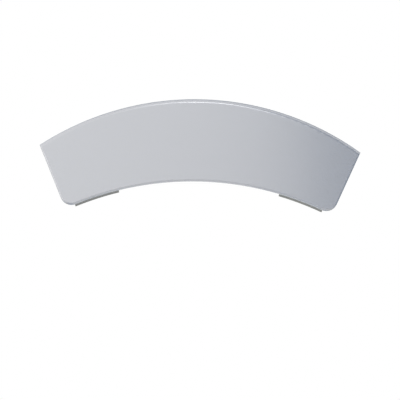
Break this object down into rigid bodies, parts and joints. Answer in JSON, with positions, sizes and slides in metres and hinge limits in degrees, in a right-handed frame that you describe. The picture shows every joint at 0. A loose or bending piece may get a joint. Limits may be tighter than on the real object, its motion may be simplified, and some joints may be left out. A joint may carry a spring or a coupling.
{
  "type": "washing machine door handle",
  "caption": "Crescent-shaped washing machine door handle: a painted cover on a sprung lever that turns on a bracket and swings a latch hook.",
  "frame": {"origin": "centre of the bracket's four screw holes, on its mounting face", "axes": "+X along the handle's chord, +Y into the door, away from the front face, +Z towards the convex outer edge"},
  "size_m": [0.22, 0.053, 0.0748],
  "materials": {
    "silver_paint": "silver-grey paint, satin gloss, on moulded plastic",
    "grey_plastic": "unpainted grey moulding, fine matte grain",
    "zinc_plate": "zinc-plated steel",
    "dark_nylon": "glass-filled nylon, matte",
    "bright_steel": "ground steel",
    "dark_steel": "phosphated spring steel",
    "spring_wire": "drawn spring wire",
    "plated_steel": "nickel-plated steel, satin",
    "black_rubber": "moulded rubber"
  },
  "bodies": {
    "bracket": {"bearing_bracket": "dark_nylon", "pivot_pin": "bright_steel", "pivot_clips": "dark_steel", "return_spring_left": "spring_wire", "return_spring_right": "spring_wire", "hook_spring": "spring_wire"},
    "lever": {"front_cover": "silver_paint", "lever_body": "grey_plastic", "cover_screws": "zinc_plate", "buffer_left": "black_rubber", "buffer_right": "black_rubber"},
    "hook": {"latch_hook": "plated_steel"}
  },
  "joints": [
    {"name": "lever_pull", "type": "hinge", "parent": "bracket", "child": "lever", "pos_m": [0, -0.009, 0.012], "axis": [-1, 0, 0], "range_deg": [0, 18], "stiffness_Nm_per_rad": 0.8, "springref_deg": -20.05, "deforming": ["return_spring_left", "return_spring_right", "hook_spring"]},
    {"name": "hook_swing", "type": "hinge", "parent": "lever", "child": "hook", "pos_m": [0, -0.009, 0.012], "axis": [-1, 0, 0], "range_deg": [0, 14], "stiffness_Nm_per_rad": 0.2, "springref_deg": -22.92}
  ]
}
